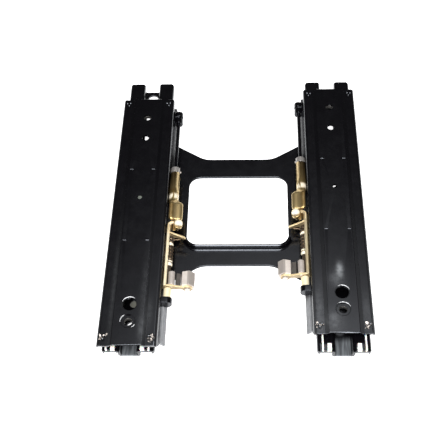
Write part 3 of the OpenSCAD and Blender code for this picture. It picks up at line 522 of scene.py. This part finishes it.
LOOKS = {
    "release_tube_left": tube_zinc("left"),
    "release_tube_right": tube_zinc("right"),
    "pivot_pin": yellow_zinc(
        "yellow_zinc_pin", straw=rgb(0.95, 0.84, 0.58), rose=rgb(0.88, 0.72, 0.46),
        green=rgb(0.86, 0.78, 0.52), metal=0.30),
    # Lever edges: a paler copy on the left as painted highlight, a darker copy on the right as painted shade
    "lever_edge_left": yellow_zinc(
        "yellow_zinc_lit", straw=rgb(0.88, 0.77, 0.54), rose=rgb(0.82, 0.66, 0.42),
        green=rgb(0.82, 0.73, 0.48), metal=0.30, shade_teeth_pin=False),
    "lever_edge_right": yellow_zinc(
        "yellow_zinc_shaded", straw=rgb(0.60, 0.51, 0.33), rose=rgb(0.50, 0.40, 0.24),
        green=rgb(0.54, 0.48, 0.30), metal=0.50, shade_teeth_pin=False),
    # A pale copy of yellow zinc: painted highlight on the rivet's knob and the pin collars
    "tongue_rivet": yellow_zinc(
        "yellow_zinc_highlight", straw=rgb(0.97, 0.90, 0.72), rose=rgb(0.93, 0.82, 0.66),
        green=rgb(0.92, 0.86, 0.66), metal=0.15, shade_teeth_pin=False),
    # Seat nuts darkened near black: painted shade inside the seat holes
    "seat_nuts": plated_steel(
        "nut_steel_shaded", rgb(0.10, 0.095, 0.09), rgb(0.06, 0.057, 0.054), rough=(0.40, 0.52), metal=0.6),
    # Link nuts: the light tones are a painted highlight on the half towards the rail, the inner tone is
    # painted shade
    "stud_nuts": plated_steel(
        "nut_zinc_lit_shaded", rgb(0.80, 0.73, 0.67), rgb(0.70, 0.63, 0.57), rough=(0.36, 0.46), metal=0.4,
        inner=rgb(0.40, 0.36, 0.33)),
    # Rim beads: the light tone is a painted highlight
    "rim": plated_steel(
        "rim_highlight", rgb(0.80, 0.81, 0.83), rgb(0.30, 0.31, 0.32), rough=(0.30, 0.42), metal=0.2),
    "tube_bush": plated_steel(
        "bright_zinc_worn", rgb(0.40, 0.38, 0.36), rgb(0.28, 0.26, 0.25), rough=(0.34, 0.44), metal=0.6),
    "plug": plated_steel(
        "plug_grey", rgb(0.16, 0.175, 0.15), rgb(0.09, 0.10, 0.085), rough=(0.50, 0.62), metal=0.0),
    "stop_pad": plated_steel(
        "pad_steel", rgb(0.075, 0.066, 0.058), rgb(0.05, 0.045, 0.04), rough=(0.45, 0.55), metal=0.1),
}


# Object helpers

def add_object(name, data):
    made = bpy.data.objects.new(name, data)
    bpy.context.scene.collection.objects.link(made)
    return made


def paint(piece, mat):
    piece.data.materials.clear()
    piece.data.materials.append(mat)


def dress(piece, slot, look=None):
    """Give a piece its slot's material, unless it has a look of its own."""
    paint(piece, look or MATERIALS[slot])


def shade_evenly(piece):
    piece.modifiers.new("shade", "WEIGHTED_NORMAL").keep_sharp = True


# Pieces that stand for the CAD solids with softened edges

WELD_GAP = 0.002 * MM
FLAT_ANGLE = math.radians(1)
SHARP_ANGLE = math.radians(28)
EDGE_SEGMENTS = 2
# Width that the plain edges keep where only some edges of a kind are fully rounded
PLAIN_SHARE = 0.22
# Shortest edge that is rounded, as a share of the width, or as a length where that would break small holes
LEAST_EDGE = 0.3
LEAST_LENGTHS = {"upper_rail": 1.6 * MM}
# Lowest height and least sideways share of the upper rails' end edges
END_EDGE_Z, END_EDGE_SHARE = 29.5 * MM, 0.9


def crosswise_top(line):
    """True for the upper rails' end edges, which run across the rail on its top."""
    a, b = (corner.co for corner in line.verts)
    return abs(b.x - a.x) > END_EDGE_SHARE * (b - a).length and min(a.z, b.z) > END_EDGE_Z


BOLD_EDGES = {"upper_rail": crosswise_top}
EDGE_WIDTHS = {
    "lower_rail": 0.35 * MM,
    "cross_plate": 1.00 * MM,
    "plate_welds": 0.30 * MM,
    "end_glides": 0.50 * MM,
    "upper_rail": 1.20 * MM,
    "side_skirt": 0.25 * MM,
    "seat_nuts": 0.40 * MM,
    "front_ring": 0.40 * MM,
    "rear_bracket": 0.40 * MM,
    "latch_lever": 0.30 * MM,
    "pivot_pin": 0.40 * MM,
    "tube_bush": 0.30 * MM,
    "cross_pin": 0.30 * MM,
    "rear_rod": 0.30 * MM,
    "tongue_rivet": 0.30 * MM,
    "link_stud": 0.30 * MM,
    "stud_nuts": 0.50 * MM,
    "hook_pin": 0.50 * MM,
    "stop_pad": 0.60 * MM,
}


def weigh_edges(bm, kind, width):
    """Mark the sharp edges that get rounded with their weight, and the short ones as sharp."""
    weight = bm.edges.layers.float.new("bevel_weight_edge")
    least = LEAST_LENGTHS.get(kind, LEAST_EDGE * width)
    bold = BOLD_EDGES.get(kind)
    for line in bm.edges:
        sharp = line.is_manifold and line.calc_face_angle() > SHARP_ANGLE
        if sharp and line.calc_length() > least:
            line[weight] = 1.0 if bold is None or bold(line) else PLAIN_SHARE
        elif sharp:
            line.smooth = False


def softened(node, width):
    """A copy of a CAD solid with its sharp edges rounded, which replaces the node."""
    mesh = frame["nodes"][node].data.copy()
    bm = bmesh.new()
    bm.from_mesh(mesh)
    bmesh.ops.remove_doubles(bm, verts=bm.verts, dist=WELD_GAP)
    bmesh.ops.dissolve_limit(bm, angle_limit=FLAT_ANGLE, verts=bm.verts, edges=bm.edges)
    for face in bm.faces:
        face.smooth = True
    weigh_edges(bm, base_name(node), width)
    bm.to_mesh(mesh)
    bm.free()
    piece = add_object(f"{node}_skin", mesh)
    edge = piece.modifiers.new("edges", "BEVEL")
    edge.width = width
    edge.segments = EDGE_SEGMENTS
    edge.limit_method = "WEIGHT"
    edge.use_clamp_overlap = False
    shade_evenly(piece)
    dress(piece, slot_of_node(node), LOOKS.get(base_name(node)))
    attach(piece, body_of_node(node))
    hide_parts(node)


for node_name, node_object in list(frame["nodes"].items()):
    kind_name = base_name(node_name)
    if kind_name in EDGE_WIDTHS:
        softened(node_name, EDGE_WIDTHS[kind_name])
    elif kind_name != "release_tube":
        paint(node_object, MATERIALS[slot_of_node(node_name)])


# Helpers for pieces with smoother forms than the solids, whose sizes are in millimetres

RING_POINTS = 48


def new_piece(name, skin, slot, body, look=None):
    """A piece with the vertices and faces of a skin, which rides on a body."""
    verts, faces = skin
    mesh = bpy.data.meshes.new(name)
    mesh.from_pydata(verts, [], faces)
    bm = bmesh.new()
    bm.from_mesh(mesh)
    bmesh.ops.recalc_face_normals(bm, faces=bm.faces)
    for face in bm.faces:
        face.smooth = True
    bm.to_mesh(mesh)
    bm.free()
    piece = add_object(name, mesh)
    shade_evenly(piece)
    dress(piece, slot, look)
    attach(piece, body)
    return piece


def loft(rings):
    """Vertices and faces of a skin over rings of equal length, with both ends closed."""
    count = len(rings[0])
    verts = [point for ring in rings for point in ring]
    faces = []
    for i in range(len(rings) - 1):
        for k in range(count):
            a, b = i * count + k, i * count + (k + 1) % count
            faces.append((a, b, b + count, a + count))
    faces.append(tuple(range(count)))
    faces.append(tuple(range(len(verts) - count, len(verts))))
    return verts, faces


def joined(skins):
    """Several skins as one."""
    verts, faces = [], []
    for more_verts, more_faces in skins:
        faces += [tuple(i + len(verts) for i in face) for face in more_faces]
        verts += more_verts
    return verts, faces


def circle(count=RING_POINTS):
    """Cosine and sine of equal steps round a circle."""
    angles = [2 * math.pi * k / count for k in range(count)]
    return [(math.cos(angle), math.sin(angle)) for angle in angles]


def mixed(a, b, share):
    return a + (b - a) * share


def eased(value):
    value = min(max(value, 0.0), 1.0)
    return value * value * (3 - 2 * value)


def base_place(side, x, y, z):
    """A point on a lower rail in metres, from its place beside the rail's middle."""
    return Vector((OUTWARD[side] * RAIL_X + x * MM, y * MM, z * MM))


def carriage_place(side, x, y, z):
    """A point on an upper rail in metres, from its place beside the rail's middle."""
    return Vector((OUTWARD[side] * RAIL_X + x * MM, SHIFT[side] + y * MM, z * MM))


def latch_place(side, u, y, z):
    """A latch point at rest in metres, from its place with the latch locked (across, along, up)."""
    du, dz = u * MM - SHAFT_U, z * MM - SHAFT_Z
    turned_u = SHAFT_U + du * math.cos(LATCH_TURN) + dz * math.sin(LATCH_TURN)
    turned_z = SHAFT_Z - du * math.sin(LATCH_TURN) + dz * math.cos(LATCH_TURN)
    return Vector((OUTWARD[side] * (RAIL_X - turned_u), y * MM + SHIFT[side], turned_z))


def upright_ring(place, side, x, y, z, r):
    """A circle about an upright axis, put in its place by one of the functions above."""
    return [place(side, x + r * c, y + r * s, z) for c, s in circle()]


# Release tubes

# Ends of the round stretch along the rail, and the stretch over which it turns flat
TUBE_REAR, ROUND_FRONT, FLAT_FROM, FLAT_TO = 62, 29, 23, 13
FLATTEN_STEPS = 12
# The flat tongue's front: place along the rail, share of the full section
TONGUE = ((4, 1), (-4.6, 1), (-6.2, 0.95), (-7.3, 0.82), (-7.8, 0.6))
# Sections: middle, half width and height, roundness of the oval, depth of the trough along its top
ROUND = {"u": SHAFT_U / MM, "z": SHAFT_Z / MM, "half_w": 5.5, "half_h": 5.5, "power": 2.0, "groove": 0.0}
FLAT = {"u": 38.85, "z": 25.5, "half_w": 7.75, "half_h": 2.5, "power": 3.2, "groove": 0.75}
GROOVE_SHARE = 0.45
# The rivet's lobe: its middle, its stretch to the front and to the rear, and its heights with their radii
RIVET_U, RIVET_Y = 42.3, -12.5
LOBE_FRONT, LOBE_REAR = 1.3, 1.5
LOBE_SECTION = ((23.0, 4.6), (23.4, 5.0), (26.1, 5.0), (26.6, 4.5))


def tube_ring(side, y, form, shrink=1.0):
    """One ring of the tube: an oval of the given form with a trough along its top."""
    ring = []
    share = 2 / form["power"]
    for c, s in circle():
        across = form["half_w"] * shrink * math.copysign(abs(c) ** share, c)
        high = form["half_h"] * shrink * math.copysign(abs(s) ** share, s)
        if high > 0:
            sink = math.exp(-(across / (GROOVE_SHARE * form["half_w"])) ** 2)
            high -= form["groove"] * sink * high / form["half_h"]
        ring.append(latch_place(side, form["u"] + across, y, form["z"] + high))
    return ring


def tube_skin(side):
    """Round behind and pressed flat with a soft trough in front."""
    rings = [tube_ring(side, y, ROUND) for y in (TUBE_REAR, ROUND_FRONT)]
    for k in range(FLATTEN_STEPS + 1):
        share = k / FLATTEN_STEPS
        form = {name: mixed(ROUND[name], FLAT[name], eased(share)) for name in ROUND}
        rings.append(tube_ring(side, mixed(FLAT_FROM, FLAT_TO, share), form))
    rings += [tube_ring(side, y, FLAT, shrink) for y, shrink in TONGUE]
    return loft(rings)


def lobe_skin(side):
    """The tongue's oval lobe under the rivet."""
    rings = []
    for z, r in LOBE_SECTION:
        ring = []
        for c, s in circle():
            stretch = LOBE_FRONT if s < 0 else LOBE_REAR
            ring.append(latch_place(side, RIVET_U + r * c, RIVET_Y + r * s * stretch, z))
        rings.append(ring)
    return loft(rings)


def release_tube(side):
    """The latch's tube with its flat tongue and the rivet's lobe, which replaces the node."""
    node = f"release_tube_{side}"
    skin = joined((tube_skin(side), lobe_skin(side)))
    piece = new_piece(f"{node}_skin", skin, slot_of_node(node), body_of_node(node), LOOKS[node])
    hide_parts(node)


# Rolled edges of the levers

# Section: half width and height, and how far it reaches towards the rail
EDGE_HALF_W, EDGE_HALF_H, EDGE_REACH = 1.9, 1.7, 1.3
EDGE_POINTS = 16
# Straight stretch: its place across, its height and its stops along the rail
EDGE_U, EDGE_Z = 32.3, 23.5
EDGE_STOPS = (-92.3, -91.3, -60, -30, -22)
# Curl: middle, radius and height, steps in half a turn and the step at which it ends
CURL_U, CURL_Y, CURL_R, CURL_Z = 37.6, -14.0, 5.0, 21.4
CURL_STEPS, CURL_LAST = 16, 13
# The sheet inside the curl: radius, height of its underside and of its top
CURL_FLOOR_R, CURL_FLOOR_LOW, CURL_FLOOR_TOP = 5.0, 19.8, 20.6


def lever_edge(side):
    """The lever's rolled upper edge, which runs on into the curl round the tube's tongue."""
    path = [(EDGE_U, y, EDGE_Z, 0.0) for y in EDGE_STOPS]
    for k in range(CURL_LAST + 1):
        turn = math.pi * k / CURL_STEPS
        path.append((CURL_U - CURL_R * math.cos(turn), CURL_Y + CURL_R * math.sin(turn), CURL_Z, turn))
    rings = []
    for u, y, z, turn in path:
        ring = []
        for c, s in circle(EDGE_POINTS):
            out = min(EDGE_HALF_W * c, EDGE_REACH)
            across, along = u - out * math.cos(turn), y + out * math.sin(turn)
            ring.append(latch_place(side, across, along, z + EDGE_HALF_H * s))
        rings.append(ring)
    node = f"latch_lever_{side}"
    look = LOOKS[f"lever_edge_{side}"]
    new_piece(f"lever_edge_{side}", loft(rings), slot_of_node(node), body_of_node(node), look)


def curl_floor(side):
    """The sheet inside the lever's curl, under the knob, in the tube's darker tone as painted shade."""
    heights = (CURL_FLOOR_LOW, CURL_FLOOR_TOP)
    rings = [upright_ring(latch_place, side, CURL_U, CURL_Y, z, CURL_FLOOR_R) for z in heights]
    node = f"latch_lever_{side}"
    # The darker tube look here is painted shade inside the curl
    look = LOOKS[f"release_tube_{side}"]
    new_piece(f"curl_floor_{side}", loft(rings), slot_of_node(node), body_of_node(node), look)


# Collars on the pivot pins: front end, rear end, radius
COLLARS = ((-64.5, -57.5, 3.3), (-38.5, -34.5, 3.3))
# Shape of a collar: share of its length, share of its radius
COLLAR_BEADS = (
    (0.0, 0.80), (0.10, 0.92), (0.30, 1.0), (0.52, 0.95),
    (0.60, 0.86), (0.72, 0.95), (0.90, 0.92), (1.0, 0.80),
)


def pin_collars(side):
    """Two collars that hold the latch spring on its pin, pale as painted highlight."""
    skins = []
    for front, rear, r in COLLARS:
        rings = []
        for share, size in COLLAR_BEADS:
            y = mixed(front, rear, share)
            rings.append([
                latch_place(side, SHAFT_U / MM + r * size * c, y, SHAFT_Z / MM + r * size * s)
                for c, s in circle()
            ])
        skins.append(loft(rings))
    new_piece(f"pin_collars_{side}", joined(skins), "yellow_zinc", f"latch_{side}", LOOKS["tongue_rivet"])


# Window of the cross plate: half width between its corners' middles, their radius and place, the lip's ends
WINDOW_HALF_X, WINDOW_R, WINDOW_CORNER_Y, LIP_END_Y = 44, 13, -37.8, -40.8
LIP_STEPS = 14
# Section of the window's pressed lip: distance from the window's edge, height
LIP_SECTION = (
    (-0.05, 2.9), (-0.05, 8.9), (0.0, 8.97), (1.25, 9.40), (1.35, 9.42),
    (1.45, 9.38), (2.1, 9.01), (2.6, 8.72), (2.9, 8.2), (3.0, 6.9),
    (3.1, 4.8), (3.25, 4.1), (3.6, 3.5), (4.2, 3.15), (5.2, 2.9),
)


def window_lip():
    """The turned up front edge of the plate's window, with soft bends at its top and foot."""
    end_angle = math.asin((WINDOW_CORNER_Y - LIP_END_Y) / WINDOW_R)
    turns = [mixed(end_angle, math.pi / 2, k / LIP_STEPS) for k in range(LIP_STEPS + 1)]
    left = [(-WINDOW_HALF_X, -math.cos(a), -math.sin(a)) for a in turns]
    right = [(WINDOW_HALF_X, math.cos(a), -math.sin(a)) for a in reversed(turns)]
    rings = []
    for centre_x, way_x, way_y in left + right:
        rings.append([
            Vector((centre_x + way_x * (WINDOW_R + out), WINDOW_CORNER_Y + way_y * (WINDOW_R + out), z)) * MM
            for out, z in LIP_SECTION
        ])
    new_piece("window_lip", loft(rings), "black_paint", "base")


# Bare chips and painted highlights of the upper rails

# The front crimps: offset from the rail's middle, place along and height of the shoulder
CRIMP_U, CRIMP_Y, CRIMP_Z = 24.2, -156.0, 30.2
# A crimp's dents: middles, radius of the punch and depth
DENTS = ((-1.9, 1.4), (1.7, 1.9), (0.4, -1.8))
DENT_R, DENT_DEPTH = 3.0, 1.1
# Chips: number in a crimp, corners, spread across and along, sizes, unevenness and height over the paint
CHIPS, CHIP_POINTS = 12, 9
CHIP_SPREAD_X, CHIP_SPREAD_Y = 3.6, 4.2
CHIP_SIZES = (0.45, 1.4)
CHIP_UNEVEN = (0.55, 1.2)
CHIP_LIFT = 0.05
CHIP_SEEDS = {"left": 11, "right": 12}


def dent_depth(x, y):
    """How far the dented shoulder lies below its plane, in millimetres (a negative height)."""
    depth = 0.0
    for dx, dy in DENTS:
        square = DENT_R ** 2 - (x - dx) ** 2 - (y - dy) ** 2
        if square > 0:
            depth = min(depth, DENT_R - DENT_DEPTH - math.sqrt(square))
    return depth


def chip_skin(side, crimp_x, draw):
    """One flat speck of uneven outline that follows the dents."""
    mid_x = draw.uniform(-CHIP_SPREAD_X, CHIP_SPREAD_X)
    mid_y = draw.uniform(-CHIP_SPREAD_Y, CHIP_SPREAD_Y)
    size = draw.uniform(*CHIP_SIZES)
    verts = []
    for c, s in circle(CHIP_POINTS):
        r = size * draw.uniform(*CHIP_UNEVEN)
        x, y = mid_x + r * c, mid_y + r * s
        verts.append(carriage_place(side, crimp_x + x, CRIMP_Y + y, CRIMP_Z + dent_depth(x, y) + CHIP_LIFT))
    return verts, [tuple(range(CHIP_POINTS))]


def crimp_chips(side):
    """Bare specks where the punch broke the paint of the front crimps, pale enough to stand in for the dents'
    glints as painted highlight.
    """
    draw = random.Random(CHIP_SEEDS[side])
    skins = [chip_skin(side, crimp_x, draw) for crimp_x in (-CRIMP_U, CRIMP_U) for _ in range(CHIPS)]
    new_piece(f"crimp_chips_{side}", joined(skins), "bright_zinc", f"carriage_{side}")


# Beads on the rims of the front holes: radius and height of their middle, half width, steps along and round
RIM_R, RIM_Z, RIM_HALF, RIM_STEPS, RIM_POINTS = 8.1, 31.95, 0.5, 24, 10
# Share of the width that a bead keeps at its ends, and its height as a share of its width
RIM_LEAST, RIM_FLATNESS = 0.15, 0.5
# Painted highlight arcs on the rims of the two front holes: place along the rail, first and last angle in
# degrees
RIMS = {
    "left": ((-118, 45, 165), (-138, 115, 190), (-138, 295, 335)),
    "right": ((-118, 15, 125), (-138, 15, 130)),
}


def rim_skin(side, hole_y, start, end):
    """One low bead along an arc of a hole's rim, with tapered ends."""
    rings = []
    for step in range(RIM_STEPS + 1):
        share = step / RIM_STEPS
        angle = math.radians(mixed(start, end, share))
        half = RIM_HALF * mixed(RIM_LEAST, 1.0, math.sin(math.pi * share))
        ring = []
        for c, s in circle(RIM_POINTS):
            r = RIM_R + half * c
            x, y = r * math.cos(angle), hole_y + r * math.sin(angle)
            ring.append(carriage_place(side, x, y, RIM_Z + RIM_FLATNESS * half * s))
        rings.append(ring)
    return loft(rings)


def rim_arcs(side):
    """Painted highlights on the hole rims, as low bright beads."""
    skins = [rim_skin(side, *arc) for arc in RIMS[side]]
    new_piece(f"rim_arcs_{side}", joined(skins), "bright_zinc", f"carriage_{side}", LOOKS["rim"])


# Plugs

# The small floor hole: place along the rail, radius and height of its plug
DRIP_Y, PLUG_R, PLUG_Z = -123, 4.45, 1.2
# The middle hole of an upper rail: place along the rail, and its plug's heights with their radii
DRAIN_Y = 18.7
DRAIN_PLUG_SECTION = ((30.4, 2.45), (31.1, 2.45), (31.4, 2.05))


def floor_plug(side):
    """A thin nylon plug in the small floor hole, whose dull grey is painted shade for the shaded floor under
    the rail.
    """
    skin = upright_ring(base_place, side, 0, DRIP_Y, PLUG_Z, PLUG_R), [tuple(range(RING_POINTS))]
    new_piece(f"floor_plug_{side}", skin, "white_nylon", "base", glowing_nylon(f"shaded_floor_nylon_{side}"))


def drain_plug(side):
    """A dull plug in the middle hole of one upper rail."""
    rings = [upright_ring(carriage_place, side, 0, DRAIN_Y, z, r) for z, r in DRAIN_PLUG_SECTION]
    new_piece(f"drain_plug_{side}", loft(rings), "white_nylon", f"carriage_{side}", LOOKS["plug"])


window_lip()
drain_plug("left")
for side_name in SIDES:
    release_tube(side_name)
    lever_edge(side_name)
    curl_floor(side_name)
    pin_collars(side_name)
    crimp_chips(side_name)
    floor_plug(side_name)
    rim_arcs(side_name)


# Floor, light and camera, in metres

FLOOR_HALF = 40.0
FLOOR_TONES = rgb(0.93, 0.93, 0.93), rgb(0.96, 0.96, 0.96)
GLOW_AZIMUTH = math.radians(3.65)
GLOW_HEIGHT = math.radians(68)
GLOW_WIDTH = math.radians(7.9)
GLOW_PEAK = 4.5
SKY_LOW = 0.04
SKY_TONE = rgb(1.0, 0.99, 0.97)
LAMP_PLACE = Vector((0.0, -0.62, 1.10))
LAMP_SIZE = 0.80
LAMP_POWER = 29.0

CAMERA_PLACE = Vector((24.3, -562.3, 781.4)) * MM
CAMERA_YAW = math.radians(-4.247)
CAMERA_PITCH = math.radians(55)
CAMERA_ROLL = math.radians(-3.725)
CAMERA_LENS_MM = 67.5
CAMERA_NEAREST = 0.01


def white_floor():
    """A pale floor with a glow of its own, so that it stays plain and white round the part."""
    mesh = bpy.data.meshes.new("floor")
    corners = [(x * FLOOR_HALF, y * FLOOR_HALF, 0) for x, y in ((-1, -1), (1, -1), (1, 1), (-1, 1))]
    mesh.from_pydata(corners, [], [(0, 1, 2, 3)])
    mat = bpy.data.materials.new("floor_paper")
    t = Tree(mat)
    t.principled(
        Base_Color=t.blend(t.noise(200 * MM), *FLOOR_TONES), Roughness=0.9, Specular_IOR_Level=0.0,
        Emission_Color=rgb(1, 1, 1), Emission_Strength=1.0,
    )
    mesh.materials.append(mat)
    add_object("floor", mesh)


def studio_sky():
    """A dark room with a soft glow on its ceiling, behind the part."""
    world = bpy.data.worlds.new("studio")
    bpy.context.scene.world = world
    t = Tree(world)
    aim = (
        math.cos(GLOW_HEIGHT) * math.sin(GLOW_AZIMUTH),
        math.cos(GLOW_HEIGHT) * math.cos(GLOW_AZIMUTH),
        math.sin(GLOW_HEIGHT),
    )
    dot = t.add("ShaderNodeVectorMath", operation="DOT_PRODUCT")
    t.put(dot.inputs[0], t.add("ShaderNodeTexCoord").outputs["Generated"])
    t.put(dot.inputs[1], aim)
    spread = t.math("SUBTRACT", 1.0, dot.outputs["Value"])
    glow = t.product(t.fading(t.product(spread, 2 / GLOW_WIDTH ** 2)), GLOW_PEAK)
    back = t.add("ShaderNodeBackground")
    t.put(back.inputs["Color"], SKY_TONE)
    t.put(back.inputs["Strength"], t.math("ADD", glow, SKY_LOW))
    out = t.add("ShaderNodeOutputWorld")
    t.put(out.inputs["Surface"], back.outputs["Background"])


def front_lamp():
    """One round soft lamp above the camera."""
    data = bpy.data.lights.new("front_lamp", "AREA")
    data.shape = "DISK"
    data.size = LAMP_SIZE
    data.energy = LAMP_POWER
    lamp = add_object("front_lamp", data)
    turn = (-LAMP_PLACE).to_track_quat("-Z", "Y")
    lamp.matrix_world = Matrix.Translation(LAMP_PLACE) @ turn.to_matrix().to_4x4()


def photo_camera():
    """The camera at the photograph's viewing angle."""
    data = bpy.data.cameras.new("photo_camera")
    data.lens = CAMERA_LENS_MM
    data.sensor_fit = "HORIZONTAL"
    data.clip_start = CAMERA_NEAREST
    camera = add_object("photo_camera", data)
    ahead = Vector((
        math.sin(CAMERA_YAW) * math.cos(CAMERA_PITCH),
        math.cos(CAMERA_YAW) * math.cos(CAMERA_PITCH),
        -math.sin(CAMERA_PITCH),
    ))
    level = Vector((math.cos(CAMERA_YAW), -math.sin(CAMERA_YAW), 0))
    above = level.cross(ahead)
    right = math.cos(CAMERA_ROLL) * level + math.sin(CAMERA_ROLL) * above
    up = math.cos(CAMERA_ROLL) * above - math.sin(CAMERA_ROLL) * level
    turn = Matrix((right, up, -ahead)).transposed().to_4x4()
    camera.matrix_world = Matrix.Translation(CAMERA_PLACE) @ turn
    bpy.context.scene.camera = camera


white_floor()
studio_sky()
front_lamp()
photo_camera()
bpy.context.scene.view_settings.view_transform = "Standard"
